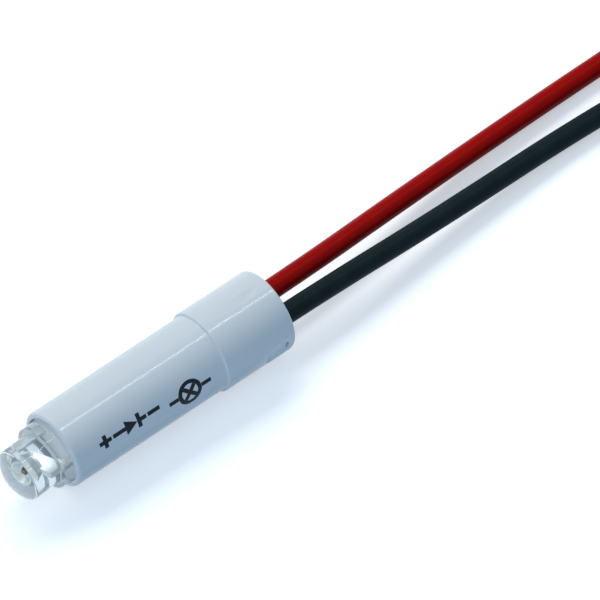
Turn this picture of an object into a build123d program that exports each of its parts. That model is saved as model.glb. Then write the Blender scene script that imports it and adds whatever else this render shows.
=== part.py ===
from build123d import *
import os
from math import acos, asin, cos, degrees, hypot, radians, sin, tan

# LED indicator lamp: a 4.8 mm LED at the front of a moulded sleeve, wired through a series
# resistor and a rectifier diode to a red and a black lead that leave the rear of the sleeve.
#
# Frame, in millimetres: the origin is on the sleeve's axis at the front face of its collar.
# The LED points along -X and the leads leave along +X. The lamp lies on its side, +Z is up,
# and the surface it lies on is one collar radius below the axis.

# LED, a wide-angle "straw hat" package
led_barrel_diameter = 4.8
led_barrel_length = 2.6
led_dome_height = 0.95
led_rim_chamfer = 0.1
led_flange_rim = 0.5
led_flange_thickness = 1.5
led_flat_margin = 0.1
led_lean_side = 2.5
led_lean_down = 1.5

# LED lead frame, die and bond wire
leg_size = 0.5
leg_pitch = 2.54
leg_length = 4.2
leg_straight = 0.7
leg_bend_run = 1.0
leg_bend_radius = 1.2
frame_foot_height = 0.7
anvil_shoulder_height = 2.1
cup_rim_height = 3.15
cup_height = 0.6
cup_depth = 0.35
cup_rim_diameter = 1.7
cup_rim_wall = 0.12
cup_base_diameter = 1.3
cup_floor_diameter = 0.9
post_gap = 0.16
post_drop = 0.25
die_size = 0.35
die_height = 0.15
bond_wire_diameter = 0.05
bond_wire_sides = 6
bond_loop_height = 0.3
bond_loop_corner = 0.15

# Series resistor and rectifier diode
component_lead_diameter = 0.6
resistor_diameter = 2.3
resistor_length = 6.3
resistor_cap_length = 1.4
resistor_waist_step = 0.15
resistor_waist_slope = 0.4
resistor_end_chamfer = 0.3
diode_diameter = 2.3
diode_length = 4.6
diode_end_chamfer = 0.15
component_side_gap = 0.12
component_stand_off = 1.0

# Soldered lap joints and their shrink tubes
lap_length = 1.6
solder_overrun = 0.2
solder_cover = 0.12
shrink_wall = 0.2
shrink_overlap = 0.7
shrink_end_gap = 0.2

# Sleeve
tube_length = 15.9
front_lip = 0.5
pocket_depth = 0.5
pocket_clearance = 0.15
bore_clearance = 0.05
collar_length = 7.2
collar_step = 0.225
front_edge_chamfer = 0.2
step_chamfer = 0.18
rear_edge_chamfer = 0.25
well_step = 0.4
glue_hole_diameter = 2.5
glue_hole_from_step = 5.3
glue_hole_angle = 192
glue_sink = 0.3

# Potting and leads
potting_recess = 0.8
potting_length = 4.2
lead_diameter = 1.85
lead_pitch = 2.68
lead_inner_length = 1.0
core_diameter = 0.8
core_jog_length = 1.2
core_straight = 0.5
tinned_length = 6.0

# The leads' routes past the sleeve: they drop to the surface and then lie on it
lead_straight_out = 3.8
red_route = [(24.0, 2.8), (41.0, 3.8), (58.5, 3.9)]
red_end = (74.5, 1.6)
black_route = [(25.0, -0.75), (43.0, -0.15), (61.0, -1.7)]
black_end = (75.5, -5.6)
lead_drop = 1.75

# Sizes that follow from the ones above
led_barrel_radius = led_barrel_diameter / 2
led_flange_radius = led_barrel_radius + led_flange_rim
pocket_radius = led_flange_radius + pocket_clearance
tube_radius = pocket_radius + front_lip
collar_radius = tube_radius + collar_step
front_x = -tube_length
rear_x = collar_length

component_lead_radius = component_lead_diameter / 2
core_radius = core_diameter / 2
lead_radius = lead_diameter / 2
leg_y = leg_pitch / 2
component_y = max(leg_y, (resistor_diameter + diode_diameter) / 4 + component_side_gap / 2)
component_z = leg_size / 2 + component_lead_radius
core_z = component_z - component_lead_radius - core_radius

# Each joint is centred on the two wires that it laps, and covers both
front_joint_z = (component_z + component_lead_radius - leg_size / 2) / 2
front_joint_radius = hypot(leg_size / 2, front_joint_z + leg_size / 2) + solder_cover
rear_joint_z = (component_z + component_lead_radius + core_z - core_radius) / 2
rear_joint_radius = component_z + component_lead_radius - rear_joint_z + solder_cover

# The bore is just wide enough for the widest thing in it
bore_radius = bore_clearance + max(
    hypot(component_y, component_z) + max(resistor_diameter, diode_diameter) / 2,
    hypot(component_y, front_joint_z) + front_joint_radius + shrink_wall,
    hypot(component_y, rear_joint_z) + rear_joint_radius + shrink_wall,
)
well_radius = bore_radius + well_step

# Stations along the axis, from the LED back
led_lean = acos(cos(radians(led_lean_side)) * cos(radians(led_lean_down)))
led_seat_x = front_x + pocket_depth - led_flange_radius * sin(led_lean)
leg_end_x = led_seat_x + leg_length
front_lead_x = leg_end_x - lap_length
component_x = leg_end_x + component_stand_off
core_front_x = component_x + max(resistor_length, diode_length) + component_stand_off
rear_lead_x = core_front_x + lap_length
potting_rear_x = rear_x - potting_recess
potting_front_x = potting_rear_x - potting_length
lead_inner_x = potting_front_x - lead_inner_length
core_bend_x = lead_inner_x - core_straight - core_jog_length

# The LED's own plane: its origin is the centre of the flange's rear face, its z axis points out
# of the lens and its x axis runs from the cathode leg to the anode leg. It leans towards -Y and
# -Z, by turns about the frame's Z and Y axes
led_plane = Plane(origin=(led_seat_x, 0, 0), x_dir=(0, 1, 0), z_dir=(-1, 0, 0))
led_plane = led_plane.rotated((0, -led_lean_down, led_lean_side))
led_section = Plane(origin=led_plane.origin, x_dir=led_plane.x_dir, z_dir=-led_plane.y_dir)
led_axis = Axis(led_plane.origin, led_plane.z_dir)

# The glue hole's plane, on the axis and square to the hole
hole_direction = (0, cos(radians(glue_hole_angle)), sin(radians(glue_hole_angle)))
glue_hole_plane = Plane(origin=(glue_hole_from_step, 0, 0), z_dir=hole_direction)

os.makedirs("parts", exist_ok=True)


def rims(part, x, radius):
    """The circular edges of a turned part at one station and one radius."""
    circles = part.edges().filter_by(GeomType.CIRCLE)
    return circles.filter_by(
        lambda e: abs(e.arc_center.X - x) < 1e-3 and abs(e.radius - radius) < 1e-3
    )


def cylinder_between(x0, x1, y, z, radius):
    """A round bar along X."""
    with BuildPart() as bar:
        with BuildSketch(Plane.YZ.offset(x0)):
            with Locations((y, z)):
                Circle(radius)
        extrude(amount=x1 - x0)
    return bar.part


# Sleeve: a turned profile, hollow right through, with a pocket for the LED's flange at the front
# and a wider well for the potting at the rear
with BuildPart() as sleeve:
    with BuildSketch(Plane.XZ):
        with BuildLine():
            Polyline(
                (front_x, pocket_radius),
                (front_x, tube_radius),
                (0, tube_radius),
                (0, collar_radius),
                (rear_x, collar_radius),
                (rear_x, well_radius),
                (potting_front_x, well_radius),
                (potting_front_x, bore_radius),
                (front_x + pocket_depth, bore_radius),
                (front_x + pocket_depth, pocket_radius),
                close=True,
            )
        make_face()
    revolve(axis=Axis.X)
    chamfer(rims(sleeve, front_x, tube_radius), front_edge_chamfer)
    chamfer(rims(sleeve, 0, collar_radius), step_chamfer)
    chamfer(rims(sleeve, rear_x, collar_radius), rear_edge_chamfer)

    # The hole in the side of the collar that the potting is injected through
    with BuildSketch(glue_hole_plane):
        Circle(glue_hole_diameter / 2)
    extrude(amount=collar_radius * 2, mode=Mode.SUBTRACT)
sleeve.part.label = "sleeve"
export_step(sleeve.part, "parts/sleeve.step")


def leg(side):
    """One square leg: straight out of the LED, then bent parallel to the sleeve's axis."""
    end = (leg_end_x, side * leg_y, 0)
    outer = led_plane.from_local_coords((side * leg_y, 0, -leg_straight))
    level = (outer.X + leg_bend_run, side * leg_y, 0)
    inner = led_plane.from_local_coords((side * leg_y, 0, frame_foot_height + leg_size))
    with BuildPart() as bar:
        with BuildLine():
            FilletPolyline(end, level, outer, inner, radius=leg_bend_radius)
        with BuildSketch(Plane(origin=end, x_dir=(0, 1, 0), z_dir=(-1, 0, 0))):
            Rectangle(leg_size, leg_size)
        sweep()
    return bar.part


# Cathode frame: leg, flat anvil and the reflector cup that the die sits in, one stamping
cup_base_height = cup_rim_height - cup_height
cup_floor_height = cup_rim_height - cup_depth
with BuildPart() as led_cathode_frame:
    with BuildSketch(led_section):
        with BuildLine():
            Polyline(
                (-leg_y - leg_size / 2, frame_foot_height),
                (-leg_y + leg_size / 2, frame_foot_height),
                (cup_base_diameter / 2, anvil_shoulder_height),
                (cup_base_diameter / 2, cup_base_height),
                (-cup_base_diameter / 2, cup_base_height),
                (-leg_y - leg_size / 2, anvil_shoulder_height),
                close=True,
            )
        make_face()
    extrude(amount=leg_size / 2, both=True)
    with BuildSketch(led_section):
        with BuildLine():
            Polyline(
                (0, cup_base_height - leg_size / 2),
                (cup_base_diameter / 2, cup_base_height - leg_size / 2),
                (cup_base_diameter / 2, cup_base_height),
                (cup_rim_diameter / 2, cup_rim_height),
                (cup_rim_diameter / 2 - cup_rim_wall, cup_rim_height),
                (cup_floor_diameter / 2, cup_floor_height),
                (0, cup_floor_height),
                close=True,
            )
        make_face()
    revolve(axis=led_axis)
    add(leg(-1))
led_cathode_frame.part.label = "led_cathode_frame"
export_step(led_cathode_frame.part, "parts/led_cathode_frame.step")

# Anode frame: leg and the post that the bond wire comes down on
post_inner_x = cup_rim_diameter / 2 + post_gap
post_top_height = cup_rim_height - post_drop
with BuildPart() as led_anode_frame:
    with BuildSketch(led_section):
        with BuildLine():
            Polyline(
                (leg_y - leg_size / 2, frame_foot_height),
                (leg_y + leg_size / 2, frame_foot_height),
                (leg_y + leg_size / 2, post_top_height - leg_size / 2),
                (leg_y, post_top_height),
                (post_inner_x, post_top_height),
                (post_inner_x, anvil_shoulder_height),
                close=True,
            )
        make_face()
    extrude(amount=leg_size / 2, both=True)
    add(leg(1))
led_anode_frame.part.label = "led_anode_frame"
export_step(led_anode_frame.part, "parts/led_anode_frame.step")

# Die, on the floor of the cup
with BuildPart() as led_die:
    with BuildSketch(led_plane.offset(cup_floor_height)):
        Rectangle(die_size, die_size)
    extrude(amount=die_height)
led_die.part.label = "led_die"
export_step(led_die.part, "parts/led_die.step")

# Bond wire: up from the die, over the rim of the cup and down on the post. It is thinner than a
# hair, so six sides are enough to make it round
die_top_height = cup_floor_height + die_height
loop_height = cup_rim_height + bond_loop_height
bond_x = (post_inner_x + leg_y) / 2
with BuildPart() as led_bond_wire:
    with BuildLine(led_section):
        Polyline(
            (0, die_top_height),
            (0, loop_height - bond_loop_corner),
            (bond_loop_corner, loop_height),
            (bond_x - bond_loop_corner, loop_height),
            (bond_x, loop_height - bond_loop_corner),
            (bond_x, post_top_height),
        )
    with BuildSketch(led_plane.offset(die_top_height)):
        RegularPolygon(bond_wire_diameter / 2, bond_wire_sides)
    sweep(transition=Transition.RIGHT)
led_bond_wire.part.label = "led_bond_wire"
export_step(led_bond_wire.part, "parts/led_bond_wire.step")

# Lens: the epoxy body, cast round the frames, the die and the bond wire
dome_base_height = led_flange_thickness + led_barrel_length
dome_radius = (led_barrel_radius**2 + led_dome_height**2) / (2 * led_dome_height)
dome_half_angle = degrees(asin(led_barrel_radius / dome_radius))
with BuildPart() as led_lens:
    with BuildSketch(led_section):
        with BuildLine():
            Polyline(
                (0, 0),
                (led_flange_radius, 0),
                (led_flange_radius, led_flange_thickness),
                (led_barrel_radius, led_flange_thickness),
                (led_barrel_radius, dome_base_height),
            )
            CenterArc(
                (0, dome_base_height + led_dome_height - dome_radius),
                dome_radius,
                90 - dome_half_angle,
                dome_half_angle,
            )
            Line((0, dome_base_height + led_dome_height), (0, 0))
        make_face()
    revolve(axis=led_axis)
    barrel_rims = led_lens.edges().filter_by(
        lambda e: e.geom_type == GeomType.CIRCLE and abs(e.radius - led_barrel_radius) < 1e-3
    )
    chamfer(barrel_rims.sort_by(Axis.X)[0], led_rim_chamfer)

    # The flat on the flange that marks the cathode
    flat_x = led_barrel_radius + led_flat_margin
    with BuildSketch(led_plane):
        with Locations((-flat_x - led_flange_radius / 2, 0)):
            Rectangle(led_flange_radius, 2 * led_flange_radius)
    extrude(amount=led_flange_thickness, mode=Mode.SUBTRACT)

    for insert in (led_cathode_frame, led_anode_frame, led_die, led_bond_wire):
        add(insert.part, mode=Mode.SUBTRACT)
led_lens.part.label = "led_lens"
export_step(led_lens.part, "parts/led_lens.step")

# Resistor body: two pressed caps with the lacquered rod waisted between them
resistor_radius = resistor_diameter / 2
resistor_waist_radius = resistor_radius - resistor_waist_step
resistor_end_x = component_x + resistor_length
resistor_section = Plane(
    origin=(component_x, component_y, component_z), x_dir=(1, 0, 0), z_dir=(0, -1, 0)
)
with BuildPart() as resistor_body:
    with BuildSketch(resistor_section):
        with BuildLine():
            Polyline(
                (0, 0),
                (0, resistor_radius),
                (resistor_cap_length, resistor_radius),
                (resistor_cap_length + resistor_waist_slope, resistor_waist_radius),
                (
                    resistor_length - resistor_cap_length - resistor_waist_slope,
                    resistor_waist_radius,
                ),
                (resistor_length - resistor_cap_length, resistor_radius),
                (resistor_length, resistor_radius),
                (resistor_length, 0),
                close=True,
            )
        make_face()
    revolve(axis=Axis(resistor_section.origin, (1, 0, 0)))
    chamfer(rims(resistor_body, component_x, resistor_radius), resistor_end_chamfer)
    chamfer(rims(resistor_body, resistor_end_x, resistor_radius), resistor_end_chamfer)
resistor_body.part.label = "resistor_body"
export_step(resistor_body.part, "parts/resistor_body.step")

# Diode body: a moulded cylinder
diode_end_x = component_x + diode_length
with BuildPart() as diode_body:
    with BuildSketch(Plane.YZ.offset(component_x)):
        with Locations((-component_y, component_z)):
            Circle(diode_diameter / 2)
    extrude(amount=diode_length)
    chamfer(rims(diode_body, component_x, diode_diameter / 2), diode_end_chamfer)
    chamfer(rims(diode_body, diode_end_x, diode_diameter / 2), diode_end_chamfer)
diode_body.part.label = "diode_body"
export_step(diode_body.part, "parts/diode_body.step")

# Axial leads of the resistor and the diode: both end on the same two stations
component_leads = {}
for name, side, body_end_x in (("resistor", 1, resistor_end_x), ("diode", -1, diode_end_x)):
    for end, x0, x1 in (
        ("front", front_lead_x, component_x),
        ("rear", body_end_x, rear_lead_x),
    ):
        lead = cylinder_between(x0, x1, side * component_y, component_z, component_lead_radius)
        lead.label = f"{name}_{end}_lead"
        export_step(lead, f"parts/{name}_{end}_lead.step")
        component_leads[side, end] = lead

# Inner ends of the leads' conductors: bared, lapped under the component leads and eased up
# to the leads' own height and pitch
lead_y = lead_pitch / 2
inner_cores = {}
for name, side in (("red", 1), ("black", -1)):
    with BuildPart() as core:
        with BuildLine() as core_path:
            Polyline(
                (core_front_x, side * component_y, core_z),
                (core_bend_x, side * component_y, core_z),
                (core_bend_x + core_jog_length, side * lead_y, 0),
                (lead_inner_x, side * lead_y, 0),
            )
        with BuildSketch(Plane(origin=core_path.line @ 0, z_dir=core_path.line % 0)):
            Circle(core_radius)
        sweep(transition=Transition.RIGHT)
    core.part.label = f"{name}_core_inner"
    export_step(core.part, f"parts/{name}_core_inner.step")
    inner_cores[side] = core.part


def joint_and_shrink(name, x0, x1, y, z, radius, wires, shrink_x0, shrink_x1):
    """A barrel of solder over two lapped wires, and the shrink tube drawn down on it."""
    with BuildPart() as joint:
        add(cylinder_between(x0, x1, y, z, radius))
        for wire in wires:
            add(wire, mode=Mode.SUBTRACT)
    joint.part.label = f"{name}_joint"
    export_step(joint.part, f"parts/{name}_joint.step")

    with BuildPart() as shrink:
        with BuildSketch(Plane.YZ.offset(shrink_x0)):
            with Locations((y, z)):
                Circle(radius + shrink_wall)
                Circle(radius, mode=Mode.SUBTRACT)
        extrude(amount=shrink_x1 - shrink_x0)
    shrink.part.label = f"{name}_shrink"
    export_step(shrink.part, f"parts/{name}_shrink.step")


# Joints between the LED's legs and the components, then between the components and the leads
for name, side, frame in (("anode", 1, led_anode_frame), ("cathode", -1, led_cathode_frame)):
    joint_and_shrink(
        name,
        front_lead_x - solder_overrun,
        leg_end_x + solder_overrun,
        side * component_y,
        front_joint_z,
        front_joint_radius,
        (frame.part, component_leads[side, "front"]),
        front_lead_x - shrink_overlap,
        component_x - shrink_end_gap,
    )
for name, side in (("red", 1), ("black", -1)):
    joint_and_shrink(
        name,
        core_front_x - solder_overrun,
        rear_lead_x + solder_overrun,
        side * component_y,
        rear_joint_z,
        rear_joint_radius,
        (inner_cores[side], component_leads[side, "rear"]),
        core_front_x - shrink_overlap,
        rear_lead_x + shrink_overlap,
    )

# Potting: fills the glue hole and the well round both leads, a little below the collar's own
# round face and rear face
with BuildPart() as potting:
    with BuildSketch(glue_hole_plane):
        Circle(glue_hole_diameter / 2)
    extrude(amount=collar_radius)
    with BuildSketch(Plane.YZ.offset(potting_front_x)):
        Circle(collar_radius - glue_sink)
    extrude(amount=potting_length, mode=Mode.INTERSECT)
    with BuildSketch(Plane.YZ.offset(potting_front_x)):
        Circle(well_radius)
    extrude(amount=potting_length)
    with BuildSketch(Plane.YZ.offset(potting_front_x)):
        with Locations((lead_y, 0), (-lead_y, 0)):
            Circle(lead_radius)
    extrude(amount=potting_length, mode=Mode.SUBTRACT)
potting.part.label = "potting"
export_step(potting.part, "parts/potting.step")

# Leads: each is straight through the potting, drops to the surface and lies along it, and
# ends in a stripped and tinned length of its conductor
surface_z = lead_radius - collar_radius
for name, side, route, end in (
    ("red", 1, red_route, red_end),
    ("black", -1, black_route, black_end),
):
    points = [
        Vector(lead_inner_x, side * lead_y, 0),
        Vector(rear_x + lead_straight_out, side * lead_y, 0),
        Vector(*route[0], -lead_drop),
    ]
    points += [Vector(*place, surface_z) for place in route[1:]]
    points.append(Vector(*end, surface_z))
    runs = [b - a for a, b in zip(points, points[1:])]
    turns = [a.get_angle(b) for a, b in zip(runs, runs[1:])]
    radii = [
        0.45 * min(a.length, b.length) / tan(radians(turn) / 2)
        for a, b, turn in zip(runs, runs[1:], turns)
    ]
    with BuildPart() as lead:
        with BuildLine() as lead_path:
            FilletPolyline(*points, radius=radii)
        with BuildSketch(Plane(origin=lead_path.line @ 0, z_dir=lead_path.line % 0)):
            Circle(lead_radius)
        sweep()
    lead.part.label = f"{name}_lead"
    export_step(lead.part, f"parts/{name}_lead.step")

    with BuildPart() as core_end:
        with BuildSketch(Plane(origin=lead_path.line @ 1, z_dir=lead_path.line % 1)):
            Circle(core_radius)
        extrude(amount=tinned_length)
    core_end.part.label = f"{name}_core_end"
    export_step(core_end.part, f"parts/{name}_core_end.step")
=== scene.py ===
# %% [markdown]
# # An LED indicator lamp, dressed in Blender
#
# The lamp is a small white moulded sleeve with a clear LED at its front and a red and a black
# lead at its rear. The CAD model is loaded here as a fixed frame: every piece below is placed
# from the frame's own boxes, in metres, and nothing has to be fitted by eye. The pieces that the
# CAD keeps plain are modelled again in more detail, and the others keep their CAD mesh and get a
# better material.

# %% Load the frame
from math import acos, cos, degrees, hypot, pi, radians, sin

import bmesh
import bpy
from mathutils import Matrix, Vector


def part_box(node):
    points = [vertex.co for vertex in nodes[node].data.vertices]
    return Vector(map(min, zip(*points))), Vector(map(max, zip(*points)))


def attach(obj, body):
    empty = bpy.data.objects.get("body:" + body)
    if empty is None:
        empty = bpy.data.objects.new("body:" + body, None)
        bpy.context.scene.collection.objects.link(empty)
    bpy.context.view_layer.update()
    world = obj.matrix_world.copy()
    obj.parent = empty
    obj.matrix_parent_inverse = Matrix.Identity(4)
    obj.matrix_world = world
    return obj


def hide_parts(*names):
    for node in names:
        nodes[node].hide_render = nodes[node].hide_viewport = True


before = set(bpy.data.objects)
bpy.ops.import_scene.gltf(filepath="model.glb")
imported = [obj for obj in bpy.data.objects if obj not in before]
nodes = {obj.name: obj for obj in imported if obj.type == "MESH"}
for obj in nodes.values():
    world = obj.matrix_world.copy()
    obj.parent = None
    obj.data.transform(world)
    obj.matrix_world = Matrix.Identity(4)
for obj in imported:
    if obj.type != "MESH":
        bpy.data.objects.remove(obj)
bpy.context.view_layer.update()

MM = 0.001
scene = bpy.context.scene

# %% [markdown]
# ## Where things are
#
# The sleeve's axis is the frame's X axis, with the LED towards -X and the leads towards +X, and
# the lamp lies on a table. Sizes are read from the boxes of the CAD nodes where a box gives them.
# The few that it can't give, such as the depth of a recess, are named here in millimetres.

# %% Measure the CAD nodes
sleeve_low, sleeve_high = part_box("sleeve")
potting_low, potting_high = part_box("potting")
front_x = sleeve_low.x
rear_x = sleeve_high.x
potting_front_x = potting_low.x
potting_rear_x = potting_high.x
collar_radius = sleeve_high.z
well_radius = potting_high.z
table_z = -collar_radius

collar_step, front_lip, well_ledge = 0.225 * MM, 0.5 * MM, 0.4 * MM
tube_radius = collar_radius - collar_step
pocket_radius = tube_radius - front_lip
bore_radius = well_radius - well_ledge
pocket_depth = 0.5 * MM
lead_diameter = 1.85 * MM
print("sleeve", round((rear_x - front_x) / MM, 2), "mm long, tube", round(2 * tube_radius / MM, 2))

# %% [markdown]
# ## Camera
#
# So small a thing is best seen through a long lens from far away, which keeps the tube's sides
# almost parallel. The camera looks down on the lamp at 53 degrees from its left, so the sleeve
# runs up across the view and the leads leave it at the right. It is aimed at a point beside the
# collar, and a 1500 mm lens on a 36 mm sensor sees 50 mm of table from 2 m.

# %% Set up the camera
camera_azimuth = radians(-39.52)
camera_elevation = radians(52.8)
camera_target = Vector((8.553, -2.54, 2.644)) * MM
view_width = 49.67 * MM
lens_mm, sensor_mm = 1500, 36

towards_camera = Vector((
    sin(camera_azimuth) * cos(camera_elevation),
    -cos(camera_azimuth) * cos(camera_elevation),
    sin(camera_elevation),
))
camera_data = bpy.data.cameras.new("camera")
camera_data.lens = lens_mm
camera_data.sensor_width = sensor_mm
camera_data.clip_start = 0.01
camera_data.clip_end = 20
camera = bpy.data.objects.new("camera", camera_data)
scene.collection.objects.link(camera)
camera.location = camera_target + towards_camera * (view_width * lens_mm / sensor_mm)
camera.rotation_euler = (-towards_camera).to_track_quat("-Z", "Y").to_euler()
scene.camera = camera
print("camera", round((camera.location - camera_target).length, 3), "m away")

# %% [markdown]
# ## The two leads
#
# Each lead is a stranded conductor in a PVC jacket, stiff enough to leave the sleeve straight and
# limp enough to sink to the table within a few centimetres and lie there. A lead's line is one
# smooth NURBS curve through a few control points, and its round section is the curve's own
# bevel: that is how Blender makes a wire with no kinks. The bevel is 1 m times each point's
# radius, so the radius is the real one, and Blender's own box round the curve is right too. The
# order is set after the points, because set before, it falls back to straight runs.

# %% Lay the leads
# Control points in millimetres: along the lamp, to its side and up from its axis
beside_axis, on_table = 1.34, -2.85
lead_routes = {
    "red": [
        (1.2, beside_axis, 0), (11.0, beside_axis, 0), (24.0, 2.8, -1.75),
        (41.0, 3.8, on_table), (58.5, 3.85, on_table), (74.5, 1.6, on_table),
    ],
    "black": [
        (1.2, -beside_axis, 0), (11.0, -beside_axis, 0), (25.0, -0.75, -1.75),
        (43.0, -0.15, on_table), (61.0, -1.7, on_table), (75.5, -5.6, on_table),
    ],
}


def lay_lead(name, route):
    """A round lead on one smooth NURBS line."""
    data = bpy.data.curves.new(name, "CURVE")
    data.dimensions = "3D"
    data.bevel_depth = 1
    data.bevel_resolution = 12
    data.use_fill_caps = True
    spline = data.splines.new("NURBS")
    spline.points.add(len(route) - 1)
    for point, place in zip(spline.points, route):
        point.co = (*(Vector(place) * MM), 1)
        point.radius = lead_diameter / 2
    spline.use_endpoint_u = True
    spline.order_u = 3
    spline.resolution_u = 24
    lead = bpy.data.objects.new(name, data)
    scene.collection.objects.link(lead)
    return lead


leads = {}
for name in ("red", "black"):
    leads[name] = lay_lead(name + "_jacket", lead_routes[name])
    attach(leads[name], "root")
    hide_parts(name + "_lead")
    print(name, "lead has", len(lead_routes[name]), "control points")

# %% [markdown]
# ## Tools for modelling
#
# Every new piece starts as a primitive and is shaped in edit mode. A few small helpers keep that
# short. `start` adds a primitive by itself and applies its turn, so that what is seen in edit
# mode is measured in the frame. `pick` selects what lies in a given place, because an operator
# acts on the selection, and `near` says which lengths count as one.

# %% Define how a piece is started and its parts are picked
merge_distance, same_length = 0.0005 * MM, 0.002 * MM


def start(name, add, **options):
    """Adds a primitive by itself, names it, applies its turn and opens it in edit mode."""
    if bpy.context.mode == "EDIT_MESH":
        bpy.ops.object.mode_set(mode="OBJECT")
    bpy.ops.object.select_all(action="DESELECT")
    add(**options)
    piece = bpy.context.object
    piece.name = piece.data.name = name
    bpy.ops.object.transform_apply(location=True, rotation=True, scale=True)
    bpy.ops.object.mode_set(mode="EDIT")
    return piece


def near(a, b):
    """Whether two lengths are the same to two thousandths of a millimetre."""
    return abs(a - b) < same_length


def pick(piece, kind, test):
    """Selects the vertices, edges or faces of which every corner passes a test."""
    kinds = ("VERT", "EDGE", "FACE")
    bpy.context.tool_settings.mesh_select_mode = [k == kind for k in kinds]
    mesh = bmesh.from_edit_mesh(piece.data)
    for part in (mesh.verts, mesh.edges, mesh.faces):
        for element in part:
            element.select_set(False)
    for element in {"VERT": mesh.verts, "EDGE": mesh.edges, "FACE": mesh.faces}[kind]:
        corners = [element] if kind == "VERT" else element.verts
        element.select_set(all(test(v.co) for v in corners))
    mesh.select_flush_mode()
    bmesh.update_edit_mesh(piece.data)


print("lengths within", round(same_length / MM, 4), "mm count as one")

# %% [markdown]
# Three more helpers come after the shaping. `put` moves a piece from where it was easy to model
# to its place in the frame. `finish_piece` merges doubles, turns the faces outwards, smooths the
# shading and hands the piece to the lamp's one body. `apply_modifier` adds a modifier and
# applies it at once, so that every piece is a plain mesh when the next step looks at it.

# %% Define how a piece is placed and finished
smooth_angle = 35


def put(piece, matrix):
    """Moves the piece that is open in edit mode by a matrix, which its mesh takes up."""
    bpy.ops.object.mode_set(mode="OBJECT")
    piece.matrix_world = matrix
    bpy.ops.object.transform_apply(location=True, rotation=True, scale=True)
    bpy.ops.object.mode_set(mode="EDIT")


def finish_piece(piece, slot, *replaced, smooth=smooth_angle):
    """Closes a piece, turns its faces outwards, smooths it and makes it part of the lamp."""
    if bpy.context.mode == "EDIT_MESH":
        bpy.ops.mesh.select_all(action="SELECT")
        bpy.ops.mesh.remove_doubles(threshold=merge_distance)
        bpy.ops.mesh.normals_make_consistent(inside=False)
        bpy.ops.object.mode_set(mode="OBJECT")
    bpy.ops.object.select_all(action="DESELECT")
    bpy.context.view_layer.objects.active = piece
    piece.select_set(True)
    bpy.ops.object.shade_smooth_by_angle(angle=radians(smooth))
    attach(piece, "root")
    if replaced:
        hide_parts(*replaced)
    print(piece.name, "has", len(piece.data.polygons), "faces")


def apply_modifier(piece, kind, **settings):
    """Adds a modifier with its settings and applies it."""
    modifier = piece.modifiers.new(kind.lower(), kind)
    for key, value in settings.items():
        setattr(modifier, key, value)
    bpy.context.view_layer.objects.active = piece
    bpy.ops.object.modifier_apply(modifier=modifier.name)


print("faces that meet at under", smooth_angle, "degrees are shaded smooth")

# %% [markdown]
# ## The tinned ends
#
# Each lead ends in 6 mm of bare conductor: six strands twisted round a seventh, and dipped in
# solder so that they don't splay under a terminal's screw. Seven filled circles are laid out as
# in a cut wire, and all are extruded together in short steps, each turned a little further round
# the lead's line.

strand_length, strand_radius, strand_spacing = 6 * MM, 0.13 * MM, 0.266 * MM
twist_steps, whole_twist = 30, radians(190)


def twist_strands(name, end, direction):
    """Seven twisted strands that go on from the end of a lead."""
    circle = {"vertices": 12, "radius": strand_radius, "fill_type": "NGON"}
    piece = start(name, bpy.ops.mesh.primitive_circle_add, **circle)
    for angle in (i * pi / 3 for i in range(6)):
        place = Vector((cos(angle), sin(angle), 0)) * strand_spacing
        bpy.ops.mesh.primitive_circle_add(location=place, **circle)
    bpy.ops.mesh.select_all(action="SELECT")
    for _ in range(twist_steps):
        step = (0, 0, strand_length / twist_steps)
        bpy.ops.mesh.extrude_region_move(TRANSFORM_OT_translate={"value": step})
        bpy.ops.transform.rotate(
            value=whole_twist / twist_steps, orient_axis="Z", center_override=(0, 0, 0)
        )
    turned = direction.to_track_quat("Z", "Y").to_matrix().to_4x4()
    put(piece, Matrix.Translation(end) @ turned)
    return piece


strands = {}
for name, side in (("red", 1), ("black", -1)):
    before_end, end = (Vector(place) * MM for place in lead_routes[name][-2:])
    strands[name] = twist_strands(name + "_strands", end, (end - before_end).normalized())
    finish_piece(strands[name], "tinned_copper", name + "_core_end")

# %% [markdown]
# ## Turned shapes
#
# The sleeve, the potting and the silicone behind the LED are all round about one axis. Such a
# shape could be a spun profile. Here a ring of edges is extruded from station to station, which
# is quick to change and keeps clean rings for the bevels.

# %% Define how a round shape is turned
ring_steps = 128


def turn(name, stations):
    """Extrudes a ring of edges from station to station along the X axis."""
    x, radius = stations[0]
    piece = start(
        name, bpy.ops.mesh.primitive_circle_add,
        vertices=ring_steps, radius=radius, location=(x, 0, 0), rotation=(0, pi / 2, 0),
    )
    bpy.ops.mesh.select_all(action="SELECT")
    for next_x, next_radius in stations[1:]:
        bpy.ops.mesh.extrude_region_move(TRANSFORM_OT_translate={"value": (next_x - x, 0, 0)})
        scale = next_radius / radius
        bpy.ops.transform.resize(value=(1, scale, scale), center_override=(next_x, 0, 0))
        x, radius = next_x, next_radius
    bpy.ops.mesh.select_all(action="SELECT")
    bpy.ops.mesh.remove_doubles(threshold=merge_distance)
    return piece


def round_rim(piece, x, radius, width, segments):
    """Bevels the ring of edges at one station and radius."""
    pick(piece, "EDGE", lambda p: near(p.x, x) and near(hypot(p.y, p.z), radius))
    bpy.ops.mesh.bevel(offset=width, segments=segments, affect="EDGES", profile=0.5)


def close_ends(piece, *stations):
    """Fills the open rings at the two ends of a turned shape."""
    for x in stations:
        pick(piece, "EDGE", lambda p: near(p.x, x))
        bpy.ops.mesh.edge_face_add()


print("a turned ring has", ring_steps, "edges")

# %% [markdown]
# ## The sleeve
#
# The real sleeve is one moulding: a tube, a slightly wider collar, a pocket at the front that
# the LED's flange drops into, and a well at the rear that is filled with potting compound. Its
# stations run along the outside from front to rear and back inside, and the last is the first
# again. The mould's rounded rims are then bevelled ring by ring.

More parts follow.
